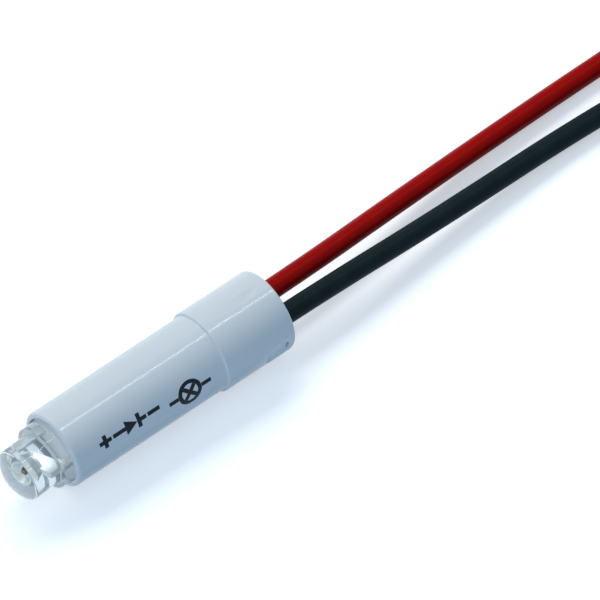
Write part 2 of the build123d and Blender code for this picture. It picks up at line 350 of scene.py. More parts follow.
# %% Turn the sleeve
pocket_floor_x = front_x + pocket_depth
sleeve_stations = [
    (front_x, tube_radius),
    (0, tube_radius),
    (0, collar_radius),
    (rear_x, collar_radius),
    (rear_x, well_radius),
    (potting_front_x, well_radius),
    (potting_front_x, bore_radius),
    (pocket_floor_x, bore_radius),
    (pocket_floor_x, pocket_radius),
    (front_x, pocket_radius),
    (front_x, tube_radius),
]
sleeve = turn("sleeve_moulding", sleeve_stations)
for x, radius, width, segments in (
    (front_x, tube_radius, 0.3 * MM, 5),
    (front_x, pocket_radius, 0.08 * MM, 2),
    (0, collar_radius, 0.12 * MM, 4),
    (0, tube_radius, 0.1 * MM, 3),
    (rear_x, collar_radius, 0.35 * MM, 6),
    (rear_x, well_radius, 0.1 * MM, 2),
):
    round_rim(sleeve, x, radius, width, segments)
bpy.ops.mesh.select_all(action="SELECT")
bpy.ops.mesh.normals_make_consistent(inside=False)
bpy.ops.object.mode_set(mode="OBJECT")
print("sleeve rings", len(sleeve.data.vertices) // ring_steps)

# %% [markdown]
# ## The glue hole and the gate mark
#
# The potting is injected through a round hole in the side of the collar, and the moulding's gate
# has left a shallow round dimple on its top. Both are cut with a Boolean modifier, by a cylinder
# through the wall and by a large ball that only grazes the surface. The cutters are removed
# again, and the rim of the hole is bevelled, since a moulded hole never has a knife edge.

# %% Cut the hole and the dimple
hole_x, hole_diameter, hole_angle = 5.3 * MM, 2.5 * MM, radians(192)
hole_rounding, cutter_steps = 0.05 * MM, 64
dimple_x, dimple_diameter, dimple_depth = 5.1 * MM, 1.3 * MM, 0.07 * MM
dimple_ball = ((dimple_diameter / 2) ** 2 + dimple_depth**2) / (2 * dimple_depth)


def combine(piece, other, operation):
    """Joins another shape to a piece, or takes it out of the piece, and removes the other."""
    bpy.ops.object.mode_set(mode="OBJECT")
    apply_modifier(piece, "BOOLEAN", object=other, operation=operation, solver="EXACT")
    bpy.data.objects.remove(other)


hole_outwards = Vector((0, cos(hole_angle), sin(hole_angle)))
hole_cutter = start(
    "hole_cutter", bpy.ops.mesh.primitive_cylinder_add,
    vertices=cutter_steps, radius=hole_diameter / 2, depth=collar_radius,
    location=Vector((hole_x, 0, 0)) + hole_outwards * collar_radius,
    rotation=hole_outwards.to_track_quat("Z", "X").to_euler(),
)
combine(sleeve, hole_cutter, "DIFFERENCE")
dimple_cutter = start(
    "dimple_cutter", bpy.ops.mesh.primitive_uv_sphere_add,
    segments=cutter_steps, ring_count=256, radius=dimple_ball,
    location=(dimple_x, 0, collar_radius + dimple_ball - dimple_depth),
)
combine(sleeve, dimple_cutter, "DIFFERENCE")


def on_hole_rim(p):
    """Whether a point is on the rim of the glue hole."""
    from_axis = (p - Vector((hole_x, 0, 0))).cross(hole_outwards).length
    outside = p.dot(hole_outwards) > 0 and near(hypot(p.y, p.z), collar_radius)
    return outside and near(from_axis, hole_diameter / 2)


bpy.context.view_layer.objects.active = sleeve
bpy.ops.object.mode_set(mode="EDIT")
pick(sleeve, "EDGE", on_hole_rim)
bpy.ops.mesh.bevel(offset=hole_rounding, segments=2, affect="EDGES", profile=0.5)
finish_piece(sleeve, "white_plastic", "sleeve")

# %% [markdown]
# ## The potting
#
# Potting compound is poured as a thick liquid: it fills the glue hole and the well, climbs a
# little at every wall and lead that it wets, and sinks a little in between as it cures. The well
# is a turned slug that falls from the wall in two short slopes, and a plug with a sunken top is
# joined to it in the glue hole by a Boolean union.

# %% Pour the potting
climb, cut_tolerance = 0.15 * MM, 0.0001 * MM


def cut_off(place, outwards):
    """Cuts the piece that is open in edit mode by a plane, and closes the cut."""
    bpy.ops.mesh.select_all(action="SELECT")
    bpy.ops.mesh.bisect(
        plane_co=place, plane_no=outwards, clear_outer=True, use_fill=True,
        threshold=cut_tolerance,
    )


potting = turn("potting_fill", [
    (potting_front_x, well_radius),
    (potting_rear_x, well_radius),
    (potting_rear_x - 0.6 * climb, well_radius - 0.1 * MM),
    (potting_rear_x - climb, well_radius - 0.35 * MM),
])
close_ends(potting, potting_front_x, potting_rear_x - climb)

plug_top, plug_depth, plug_clearance = collar_radius - 0.25 * MM, 1 * MM, 0.003 * MM
plug = start(
    "glue_plug", bpy.ops.mesh.primitive_cylinder_add,
    vertices=cutter_steps, radius=hole_diameter / 2 - plug_clearance, depth=plug_depth,
    location=Vector((hole_x, 0, 0)) + hole_outwards * (plug_top - plug_depth / 2),
    rotation=hole_outwards.to_track_quat("Z", "X").to_euler(),
)
pick(plug, "FACE", lambda p: near(p.dot(hole_outwards), plug_top))
for thickness, sink in ((0.1 * MM, 0.07 * MM), (0.3 * MM, 0.05 * MM)):
    bpy.ops.mesh.inset(thickness=thickness)
    bpy.ops.transform.translate(value=-hole_outwards * sink)
cut_off((potting_rear_x, 0, 0), (1, 0, 0))
combine(potting, plug, "UNION")
print("plug", round((collar_radius - plug_top) / MM, 2), "mm below the collar's skin")

# %% [markdown]
# The compound also climbs each lead as a low cone. Where the cone stands is measured from the
# ring of points at which the lead passes the rear face, since the leads already bend there. Each
# lead's own shape is then cut out of the compound, so that the two meet all round.

# %% Raise the compound round the leads
cone_depth, cone_foot, cone_tip = climb + 0.1 * MM, 0.25 * MM, 0.02 * MM
for name, lead in leads.items():
    bpy.context.view_layer.update()
    bore = bpy.data.objects.new(name + "_bore", bpy.data.meshes.new_from_object(lead))
    scene.collection.objects.link(bore)
    at_exit = [v.co for v in bore.data.vertices if abs(v.co.x - potting_rear_x) < lead_diameter / 2]
    centre = sum(at_exit, Vector()) / len(at_exit)
    centre.x = potting_rear_x - cone_depth / 2
    combine(potting, start(
        "lead_cone", bpy.ops.mesh.primitive_cone_add,
        vertices=cutter_steps, radius1=lead_diameter / 2 + cone_foot,
        radius2=lead_diameter / 2 + cone_tip, depth=cone_depth, location=centre,
        rotation=(0, pi / 2, 0),
    ), "UNION")
    combine(potting, bore, "DIFFERENCE")
    print(name, "lead leaves", round(-centre.z / MM, 3), "mm below the axis")
finish_piece(potting, "potting_compound", "potting", smooth=50)

# %% [markdown]
# ## The LED's place
#
# The LED was pushed into its pocket by hand and glued, so it leans a few degrees to the side and
# down. Its own axis is taken as Z while it is modelled, which keeps every ring level, and one
# matrix then sets it in the pocket. Read from right to left, the matrix lays the LED along -X,
# leans it to the side about the frame's Z axis and down about its Y axis, and moves it in place.

# %% Work out the LED's matrix
led_lean_side, led_lean_down = radians(2.5), radians(1.5)
barrel_radius, barrel_length = 2.4 * MM, 2.6 * MM
dome_height = 0.945 * MM
flange_radius, flange_thickness = 2.9 * MM, 1.5 * MM
flat_distance = 2.5 * MM
dome_rounding, root_rounding = 0.12 * MM, 0.1 * MM

led_lean = acos(cos(led_lean_side) * cos(led_lean_down))
led_seat_x = pocket_floor_x - flange_radius * sin(led_lean)
led_axes = Matrix(((0, 0, -1), (1, 0, 0), (0, -1, 0))).to_4x4()
led_matrix = (
    Matrix.Translation((led_seat_x, 0, 0))
    @ Matrix.Rotation(-led_lean_down, 4, "Y")
    @ Matrix.Rotation(led_lean_side, 4, "Z")
    @ led_axes
)
print("LED seat", round(led_seat_x / MM, 3), "mm, leans", round(degrees(led_lean), 2), "degrees")

# %% [markdown]
# ## The lens
#
# A wide-angle LED has a short barrel with a shallow domed end, on a flange with one flat that
# marks the cathode. It is cast in clear epoxy round its metal frames. The dome is the cap of a
# much larger ball, so it starts as a ball that is cut off level with the barrel. The open rim is
# then extruded down the barrel, out over the flange and down its side, and closed by one face.
# The epoxy is modelled solid: the frames sit inside it, so light is bent once, as in the real one.

# %% Cast the lens
dome_base = flange_thickness + barrel_length
dome_radius = (barrel_radius**2 + dome_height**2) / (2 * dome_height)
lens = start(
    "led_epoxy", bpy.ops.mesh.primitive_uv_sphere_add,
    segments=96, ring_count=120, radius=dome_radius,
    location=(0, 0, dome_base + dome_height - dome_radius),
)
bpy.ops.mesh.select_all(action="SELECT")
bpy.ops.mesh.bisect(
    plane_co=(0, 0, dome_base), plane_no=(0, 0, 1), clear_inner=True, threshold=cut_tolerance,
)
pick(lens, "EDGE", lambda p: near(p.z, dome_base))
bpy.ops.mesh.extrude_region_move(TRANSFORM_OT_translate={"value": (0, 0, -barrel_length)})
bpy.ops.mesh.extrude_region_move(TRANSFORM_OT_translate={"value": (0, 0, 0)})
widen = flange_radius / barrel_radius
bpy.ops.transform.resize(value=(widen, widen, 1), center_override=(0, 0, flange_thickness))
bpy.ops.mesh.extrude_region_move(TRANSFORM_OT_translate={"value": (0, 0, -flange_thickness)})
bpy.ops.mesh.edge_face_add()

cut_off((-flat_distance, 0, 0), (-1, 0, 0))
pick(lens, "EDGE", lambda p: near(p.z, dome_base) and near(hypot(p.x, p.y), barrel_radius))
bpy.ops.mesh.bevel(offset=dome_rounding, segments=4, affect="EDGES", profile=0.5)
pick(lens, "EDGE", lambda p: near(p.z, flange_thickness) and near(hypot(p.x, p.y), barrel_radius))
bpy.ops.mesh.bevel(offset=root_rounding, segments=3, affect="EDGES", profile=0.5)
put(lens, led_matrix)
finish_piece(lens, "clear_epoxy", "led_lens", smooth=30)

# %% [markdown]
# ## The glue behind the LED
#
# The LED is bedded on white silicone, which is what shows through the clear flange in place of a
# dark hole. The silicone is a slug in the mouth of the bore with a wider head in the pocket. Its
# front is cut off by the plane of the flange's back, so that it fills the wedge that the LED's
# lean leaves. The cut is a hair inside the epoxy: silicone wets it, so no air mirror is left
# between them. Two holes let the LED's legs through.

# %% Bed the LED in silicone
leg_spacing, leg_hole_radius, leg_hole_depth = 2.54 * MM, 0.42 * MM, 4 * MM
head_radius, head_height, head_gap = flange_radius + 0.03 * MM, 0.4 * MM, 0.005 * MM
slug_radius, slug_length, wetting = bore_radius - 0.002 * MM, 0.7 * MM, 0.01 * MM
silicone = turn("led_silicone", [
    (pocket_floor_x - head_height, head_radius),
    (pocket_floor_x - head_gap, head_radius),
    (pocket_floor_x - head_gap, slug_radius),
    (pocket_floor_x + 0.5 * MM, slug_radius),
    (pocket_floor_x + 0.62 * MM, slug_radius - 0.2 * MM),
    (pocket_floor_x + slug_length, slug_radius - 0.7 * MM),
])
close_ends(silicone, pocket_floor_x - head_height, pocket_floor_x + slug_length)
cut_off(led_matrix @ Vector((0, 0, wetting)), led_matrix.to_3x3() @ Vector((0, 0, 1)))
for side in (1, -1):
    combine(silicone, start(
        "leg_hole", bpy.ops.mesh.primitive_cylinder_add,
        vertices=32, radius=leg_hole_radius, depth=leg_hole_depth,
        location=(pocket_floor_x, side * leg_spacing / 2, 0), rotation=(0, pi / 2, 0),
    ), "DIFFERENCE")
finish_piece(silicone, "potting_compound")

# %% [markdown]
# ## The printed marks
#
# Two marks are pad-printed on the tube in black: the sign of a lamp, and a diode between a plus
# and a minus, which says that the leads have a polarity. Each is drawn flat, from bars, a
# triangle and a ring, and cut up finely enough to bend. It is set just off the tube, wrapped on
# its surface by a Shrinkwrap modifier, and given an ink film's thickness by Solidify.

# %% Define how a mark is drawn and printed
line_width = 0.38
ink_lift, ink_thickness, off_the_tube = 0.003 * MM, 0.008 * MM, 1.03


def add_bar(x, y, length, height):
    """Adds a flat bar, in millimetres, to the mark that is open in edit mode."""
    centre = Vector((x, y, 0)) * MM
    bpy.ops.mesh.primitive_plane_add(size=1, location=centre)
    bpy.ops.transform.resize(value=(length * MM, height * MM, 1), center_override=centre)


def add_cross(x, y, length, width):
    """Adds two crossed bars, the second in two halves so that no ink lies on ink."""
    add_bar(x, y, length, width)
    for side in (1, -1):
        add_bar(x, y + side * (length + width) / 4, width, (length - width) / 2)


def print_mark(x, around):
    """Bends the mark that is open in edit mode onto the tube, and makes it a film of ink."""
    piece = bpy.context.object
    bpy.ops.mesh.select_all(action="SELECT")
    bpy.ops.mesh.subdivide(number_cuts=6)
    outwards = Vector((0, cos(around), sin(around)))
    upwards = outwards.cross(Vector((1, 0, 0)))
    centre = Vector((x, 0, 0)) + outwards * tube_radius * off_the_tube
    turned = Matrix((Vector((1, 0, 0)), upwards, outwards)).transposed().to_4x4()
    put(piece, Matrix.Translation(centre) @ turned)
    bpy.ops.object.mode_set(mode="OBJECT")
    apply_modifier(
        piece, "SHRINKWRAP", target=sleeve, wrap_method="NEAREST_SURFACEPOINT",
        wrap_mode="ABOVE_SURFACE", offset=ink_lift,
    )
    apply_modifier(piece, "SOLIDIFY", thickness=ink_thickness, offset=1)
    bpy.ops.object.mode_set(mode="EDIT")
    finish_piece(piece, "black_pvc")
    return piece


print("lines", line_width, "mm wide, ink", round(ink_thickness / MM, 3), "mm thick")

# %% [markdown]
# The lamp's sign is a crossed circle between two short wires. The circle is a disc whose middle
# is deleted after an inset, and the cross is drawn upright and then turned by 45 degrees.

# %% Print the sign of a lamp
start(
    "lamp_mark", bpy.ops.mesh.primitive_circle_add,
    vertices=48, radius=1.2 * MM, fill_type="NGON",
)
bpy.ops.mesh.inset(thickness=line_width * MM)
bpy.ops.mesh.delete(type="FACE")
add_cross(0, 0, length=1.6, width=line_width)
bpy.ops.mesh.select_all(action="SELECT")
bpy.ops.transform.rotate(value=radians(45), orient_axis="Z", center_override=(0, 0, 0))
for x in (-1.71, 1.71):
    add_bar(x, 0, length=0.98, height=line_width)
lamp_mark = print_mark(x=-3.85 * MM, around=radians(159.2))

# %% [markdown]
# The diode's sign is a triangle against a bar, on a wire, with a plus before it and a minus
# after it. The wire is drawn in two pieces that end at the triangle and at the bar.

# %% Print the sign of a diode
start(
    "diode_mark", bpy.ops.mesh.primitive_circle_add,
    vertices=3, radius=0.8 * MM, fill_type="NGON", rotation=(0, 0, -pi / 2),
)
for x, length, height in (
    (-1.075, 1.35, line_width), (1.0, line_width, 1.4), (1.475, 0.56, line_width),
    (2.55, 1.25, line_width),
):
    add_bar(x, 0, length, height)
add_cross(-2.55, 0, length=1.25, width=line_width)
diode_mark = print_mark(x=-10.15 * MM, around=radians(151.6))

# %% [markdown]
# ## Colours and nodes
#
# Blender's sockets take linear colours, and colours are written here as sRGB hex codes, so one
# function turns one into the other. A material is a tree of nodes, and one function adds any of
# them with its settings and links. Patterns read Object coordinates: each object sits at the
# origin, so these are real places in metres, and a pattern stays on its piece. A node given as
# an input is linked by its first output, and an underscore stands for a space in a socket's name.

# %% Define the colour and node helpers
def colour(hex_code):
    """A linear colour from an sRGB hex code."""
    parts = [int(hex_code[i:i + 2], 16) / 255 for i in (1, 3, 5)]
    return (*(c / 12.92 if c <= 0.04045 else ((c + 0.055) / 1.055) ** 2.4 for c in parts), 1)


def add_node(tree, kind, inputs=(), **settings):
    """Adds a shader node, sets its fields and sockets, and links or sets its inputs."""
    node = tree.nodes.new("ShaderNode" + kind)
    for key, value in settings.items():
        if key in node.bl_rna.properties:
            setattr(node, key, value)
        else:
            node.inputs[key.replace("_", " ")].default_value = value
    for socket, source in dict(inputs).items():
        if isinstance(source, bpy.types.Node):
            source = source.outputs[0]
        if isinstance(source, bpy.types.NodeSocket):
            tree.links.new(source, node.inputs[socket])
        else:
            node.inputs[socket].default_value = source
    return node


def new_material(name):
    """An empty node material, its tree and its object coordinates."""
    material = bpy.data.materials.new(name)
    material.use_nodes = True
    material.node_tree.nodes.clear()
    place = add_node(material.node_tree, "TexCoord").outputs["Object"]
    return material, material.node_tree, place


def use_shader(tree, shader):
    """Gives a material its surface."""
    add_node(tree, "OutputMaterial", {"Surface": shader})


def dress(material, *pieces):
    """Gives pieces one material."""
    for piece in pieces:
        piece.data.materials.clear()
        piece.data.materials.append(material)
    print(material.name, "on", len(pieces))


print("mid grey in linear light", [round(part, 3) for part in colour("#808080")])

# %% [markdown]
# ## The table
#
# The lamp lies on a plain white table. By Light Path, the rays of the camera, of reflections and
# of refractions see it as bright paper that still takes the lamp's shadow, and the light that it
# throws back on the lamp is that of a bluer, darker sheet. So the background stays white without
# more light on the lamp.

# %% Make the table
def seen_directly(tree, *rays):
    """1 for the rays that see the backdrop as it is, and 0 for the light that it gives."""
    path = add_node(tree, "LightPath")
    seen = path.outputs["Is Camera Ray"]
    for ray in rays:
        seen = add_node(tree, "Math", {0: seen, 1: path.outputs[ray]}, operation="MAXIMUM")
    return seen


bpy.ops.object.select_all(action="DESELECT")
bpy.ops.mesh.primitive_plane_add(size=6, location=(0, 0, table_z))
table = bpy.context.object
table.name = "table"
table_paper, tree, place = new_material("white_table")
lit_paper = add_node(tree, "BsdfDiffuse", Color=colour("#F2F5F7"))
glow = add_node(tree, "Emission", Color=(1, 1, 1, 1), Strength=0.45)
seen_paper = add_node(tree, "AddShader", {0: lit_paper, 1: glow})
bounce_paper = add_node(tree, "BsdfDiffuse", Color=colour("#95B3C9"))
use_shader(tree, add_node(tree, "MixShader", {
    "Fac": seen_directly(tree, "Is Glossy Ray", "Is Transmission Ray"),
    1: bounce_paper,
    2: seen_paper,
}))
dress(table_paper, table)

# %% [markdown]
# ## The world
#
# The room round the table is made the same way: white where it is seen, and the soft blue light
# of the sky where it lights the lamp. It fills the shadows, as daylight does.

# %% Light the world
world = bpy.data.worlds.new("studio")
scene.world = world
world.use_nodes = True
tree = world.node_tree
tree.nodes.clear()
sky = add_node(tree, "Background", Color=colour("#BCE0FF"), Strength=0.46)
white = add_node(tree, "Background", Color=(1, 1, 1, 1), Strength=1)
backdrop = add_node(tree, "MixShader", {
    "Fac": seen_directly(tree, "Is Glossy Ray", "Is Transmission Ray"),
    1: sky,
    2: white,
})
add_node(tree, "OutputWorld", {"Surface": backdrop})
print("sky strength", round(sky.inputs["Strength"].default_value, 2))

# %% [markdown]
# ## The lamps
#
# Three area lamps light the sleeve. A window high on its far side gives the round form, a weak
# fill from the front opens the shadow at the LED, and a thin strip overhead draws the fine line
# of light along the tube. The window and the fill are hidden from reflections, so that they lay
# no broad bands on the gloss, and the strip is hidden from diffuse light, so that it gives that
# line and nothing else.

# %% Hang the lamps
def add_lamp(name, towards, distance, size, power, tint):
    """A rectangular area lamp aimed at the sleeve, with its first side along the sleeve."""
    data = bpy.data.lights.new(name, "AREA")
    data.shape = "RECTANGLE"
    data.size, data.size_y = size
    data.energy = power
    data.color = colour(tint)[:3]
    lamp = bpy.data.objects.new(name, data)
    scene.collection.objects.link(lamp)
    away = Vector(towards).normalized()
    across = away.cross(Vector((1, 0, 0))).normalized()
    lamp.matrix_world = Matrix.Translation(away * distance) @ Matrix((
        across.cross(away), across, away,
    )).transposed().to_4x4()
    lamp.visible_camera = False
    print(name, "at", [round(v, 3) for v in lamp.location])
    return lamp


window = add_lamp(
    "window", towards=(0.2, 0.56, 0.78), distance=0.7, size=(0.8, 0.3), power=3.15, tint="#FFFAF0"
)
window.visible_glossy = False
front_fill = add_lamp(
    "front_fill", towards=(-0.6, -0.1, 0.17), distance=0.6, size=(0.3, 0.3), power=0.8,
    tint="#EAF2FF",
)
front_fill.visible_glossy = False
strip = add_lamp(
    "highlight_strip", towards=(0.385, 0.047, 0.92), distance=0.5, size=(0.6, 0.012), power=0.34,
    tint="#FFFFFF",
)
strip.visible_diffuse = False
scene.view_settings.view_transform = "Standard"

# %% [markdown]
# ## Moulded ABS
#
# The sleeve is injection moulded in glossy white ABS. A polished mould leaves a smooth skin, but
# the plastic shrinks a little unevenly behind it, so a reflected line wanders slightly instead of
# running dead straight. One noise a few millimetres across is that shrinkage, a much finer one is
# the skin's own orange peel, and the resin's white varies by a percent or two. Object
# coordinates are real metres here, so a pattern's scale is one over its size.

# %% Mould the sleeve in white ABS
abs_white, tree, place = new_material("moulded_white_abs")
flow = add_node(tree, "TexNoise", {"Vector": place}, Scale=1 / (2.2 * MM), Detail=2)
peel = add_node(tree, "TexNoise", {"Vector": place}, Scale=1 / (0.12 * MM), Detail=1)
# The eye gets a highlight that wanders a little along the tube
shrinkage = add_node(tree, "Bump", {"Height": flow}, Strength=1, Distance=0.022 * MM)
skin = add_node(
    tree, "Bump",
    {"Height": peel, "Normal": shrinkage},
    Strength=1, Distance=0.0004 * MM,
)
# The eye gets a white that is never quite one white
resin = add_node(
    tree, "MixRGB", {"Fac": flow},
    Color1=colour("#D8DEE1"), Color2=colour("#E0E4E6"),
)
gloss = add_node(tree, "MapRange", {"Value": peel}, To_Min=0.1, To_Max=0.18)
use_shader(tree, add_node(
    tree, "BsdfPrincipled",
    {"Base Color": resin, "Roughness": gloss, "Normal": skin},
    IOR=1.54,
))
dress(abs_white, sleeve)

# %% [markdown]
# ## Cast epoxy
#
# The LED's body is water-clear epoxy, cast in a polished mould cup round the frames. It is glass
# to the renderer: light bends at its skin and shows the frames inside. The resin flows as it
# sets, which leaves faint waves on the skin, and they soften what is seen through it. Its blue
# cast is real: clear LED resin is tinted a little against yellowing.

# %% Cast the lens in clear epoxy
epoxy, tree, place = new_material("clear_cast_epoxy")
swirl = add_node(tree, "TexNoise", {"Vector": place}, Scale=1 / (0.9 * MM), Detail=2)
waves = add_node(tree, "Bump", {"Height": swirl}, Strength=1, Distance=0.012 * MM)
# The eye gets a clear body with a faint blue cast, slightly hazy where the resin swirled
tint = add_node(
    tree, "MixRGB", {"Fac": swirl},
    Color1=colour("#C6D6E0"), Color2=colour("#D2DEE6"),
)
haze = add_node(tree, "MapRange", {"Value": swirl}, To_Min=0.01, To_Max=0.05)
use_shader(tree, add_node(
    tree, "BsdfPrincipled",
    {"Base Color": tint, "Roughness": haze, "Normal": waves},
    IOR=1.54, Transmission_Weight=1.0,
))
dress(epoxy, lens)

# %% [markdown]
# ## Silver-plated frames
#
# The frames are stamped from steel strip and plated with silver, which is bright but not
# polished: the strip's rolling lines still show as a soft brushed grain. A noise that is
# stretched along X draws them, and a coarser one lets the silver tarnish here and there.

# %% Plate the frames
plating, tree, place = new_material("silver_plated_strip")
rolled = add_node(
    tree, "Mapping", {"Vector": place},
    Scale=(1 / (1.2 * MM), 1 / (0.05 * MM), 1 / (0.05 * MM)),
)
lines = add_node(tree, "TexNoise", {"Vector": rolled}, Scale=1, Detail=3)
tarnish = add_node(tree, "TexNoise", {"Vector": place}, Scale=1 / (0.6 * MM), Detail=2)
# The eye gets bright metal with a soft grain and the first warm breath of tarnish
silver = add_node(
    tree, "MixRGB", {"Fac": tarnish},
    Color1=colour("#EEF3F6"), Color2=colour("#E2E4DE"),
)
grain = add_node(tree, "Bump", {"Height": lines}, Strength=1, Distance=0.003 * MM)
sheen = add_node(tree, "MapRange", {"Value": lines}, To_Min=0.3, To_Max=0.5)
use_shader(tree, add_node(
    tree, "BsdfPrincipled",
    {"Base Color": silver, "Roughness": sheen, "Normal": grain},
    Metallic=1.0,
))
dress(plating, nodes["led_cathode_frame"], nodes["led_anode_frame"])

# %% [markdown]
# ## The die
#
# The die is a dark chip of crystal, a third of a millimetre wide, with one round gold pad where
# the wire is bonded. The pad is drawn by its distance from the die's centre.

# %% Dress the die
pad_radius = 0.1 * MM
crystal, tree, place = new_material("led_crystal")
die_low, die_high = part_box("led_die")
off_centre = add_node(
    tree, "VectorMath", {0: place, 1: (die_low + die_high) / 2}, operation="DISTANCE"
)
on_pad = add_node(
    tree, "Math", {0: off_centre.outputs["Value"], 1: pad_radius}, operation="LESS_THAN"
)
specks = add_node(tree, "TexNoise", {"Vector": place}, Scale=1 / (0.03 * MM), Detail=1)
# The eye gets a dark reddish chip, with a gold dot where the wire lands
dark_face = add_node(
    tree, "MixRGB", {"Fac": specks},
    Color1=colour("#241417"), Color2=colour("#3D262A"),
)
face = add_node(tree, "MixRGB", {"Fac": on_pad, "Color1": dark_face}, Color2=colour("#E5BE62"))
use_shader(tree, add_node(
    tree, "BsdfPrincipled",
    {"Base Color": face, "Metallic": on_pad},
    Roughness=0.3,
))
dress(crystal, nodes["led_die"])

# %% [markdown]
# ## The bond wire
#
# The wire from the die to the post is gold, drawn through a die as thin as a hair. Drawing
# leaves scratches far finer than can be seen, so they only vary how sharply it shines.

# %% Draw the bond wire
gold, tree, place = new_material("drawn_gold_wire")
scratches = add_node(tree, "TexNoise", {"Vector": place}, Scale=1 / (0.02 * MM))
# The eye gets a hair of bright yellow metal, a little dulled by the drawing die
drawn = add_node(tree, "MapRange", {"Value": scratches}, To_Min=0.15, To_Max=0.3)
use_shader(tree, add_node(
    tree, "BsdfPrincipled", {"Roughness": drawn},
    Base_Color=colour("#E6CF95"), Metallic=1.0,
))
dress(gold, nodes["led_bond_wire"])

# %% [markdown]
# ## PVC lead insulation
#
# The jackets are PVC, extruded over the strands as a hot paste. The die leaves very fine lines
# along the lead, the skin is satin rather than glossy, and handling leaves it mottled. The leads
# run mostly along X, so a noise stretched along X gives the lines. Both colours have one recipe,
# a function of two close shades: the mottling mixes them.

# %% Extrude the red and the black insulation
def extruded_pvc(name, deep, light):
    """PVC insulation that mottles between two close shades."""
    material, tree, place = new_material(name)
    stretched = add_node(
        tree, "Mapping", {"Vector": place},
        Scale=(1 / (5 * MM), 1 / (0.16 * MM), 1 / (0.16 * MM)),
    )
    lines = add_node(tree, "TexNoise", {"Vector": stretched}, Scale=1, Detail=2)
    mottle = add_node(tree, "TexNoise", {"Vector": place}, Scale=1 / (1.6 * MM), Detail=3)
    # The eye gets a deep, even colour that is a touch lighter where it was handled
    shade = add_node(tree, "MixRGB", {"Fac": mottle}, Color1=colour(deep), Color2=colour(light))
    # The eye gets fine lines along the lead, in a broken satin highlight
    drawn = add_node(tree, "Bump", {"Height": lines}, Strength=1, Distance=0.004 * MM)
    satin = add_node(tree, "MapRange", {"Value": lines}, To_Min=0.22, To_Max=0.38)
    use_shader(tree, add_node(
        tree, "BsdfPrincipled",
        {"Base Color": shade, "Roughness": satin, "Normal": drawn},
        IOR=1.53, Specular_IOR_Level=0.05,
    ))
    return material


dress(extruded_pvc("red_extruded_pvc", "#9A0401", "#B20803"), leads["red"])
dress(extruded_pvc("black_extruded_pvc", "#0C1B1E", "#182A2E"), leads["black"])

# %% [markdown]
# ## Printing ink
#
# Pad-printing ink is a thin, satin film. The pad never lays it down quite evenly, so its black
# has paler, slightly rougher specks a few hundredths of a millimetre across.

# %% Ink the marks
ink, tree, place = new_material("pad_printed_ink")
specks = add_node(tree, "TexNoise", {"Vector": place}, Scale=1 / (0.08 * MM), Detail=3)
# The eye gets a near black with a blue cast, a little thin in places
film = add_node(
    tree, "MixRGB", {"Fac": specks},
    Color1=colour("#050E13"), Color2=colour("#14242C"),
)
drying = add_node(tree, "MapRange", {"Value": specks}, To_Min=0.35, To_Max=0.6)
use_shader(tree, add_node(
    tree, "BsdfPrincipled",
    {"Base Color": film, "Roughness": drying},
    IOR=1.5, Specular_IOR_Level=0.15,
))
dress(ink, lamp_mark, diode_mark)

# %% [markdown]
# ## Potting compound
#
# The potting is a filled epoxy, poured cloudy white. Its mineral filler shows as a fine mottling,
# and small air bubbles that rose and burst have left pits in its skin. A Voronoi pattern's cells
# place the bubbles, and only the centres of the cells become pits.

# %% Cure the potting
compound, tree, place = new_material("filled_potting_compound")
filler = add_node(tree, "TexNoise", {"Vector": place}, Scale=1 / (0.3 * MM), Detail=4)
bubbles = add_node(tree, "TexVoronoi", {"Vector": place}, Scale=1 / (0.55 * MM))
# The eye gets a milky grey-white with burst bubbles
milky = add_node(
    tree, "MixRGB", {"Fac": filler},
    Color1=colour("#E8EDF0"), Color2=colour("#F1F4F5"),
)
pits = add_node(
    tree, "MapRange", {"Value": bubbles},
    From_Min=0.08, From_Max=0.2, To_Min=0, To_Max=1,
)
pitted = add_node(tree, "Bump", {"Height": pits}, Strength=1, Distance=0.03 * MM)
use_shader(tree, add_node(
    tree, "BsdfPrincipled",
    {"Base Color": milky, "Normal": pitted},
    Roughness=0.35, IOR=1.55,
))
dress(compound, potting)

# %% [markdown]
# ## White silicone
#
# The silicone behind the LED was squeezed out as it was pushed in, and cured soft and matt, with
# a ripple about half a millimetre across.

# %% Cure the silicone
bedding, tree, place = new_material("white_silicone")
ripples = add_node(tree, "TexNoise", {"Vector": place}, Scale=1 / (0.5 * MM), Detail=2)
# The eye gets a soft, clean white with a faint ripple where the LED squeezed it out
soft_white = add_node(
    tree, "MixRGB", {"Fac": ripples},
    Color1=colour("#EEF3F6"), Color2=colour("#F5F8FA"),
)
squeezed = add_node(tree, "Bump", {"Height": ripples}, Strength=1, Distance=0.04 * MM)
use_shader(tree, add_node(
    tree, "BsdfPrincipled",
    {"Base Color": soft_white, "Normal": squeezed},
    Roughness=0.45, IOR=1.41,
))
dress(bedding, silicone)

# %% [markdown]
# ## Tinned copper and solder
#
# Component leads and the leads' strands are copper dipped in tin: a grey metal with a yellowish
# breath, smooth but dull where flux has dried. The solder of the joints has frozen more coarsely,
# so it has larger soft lumps and a cooler, frosty shine. One recipe makes both, from two shades,
# the size of a lump and how deep it is.

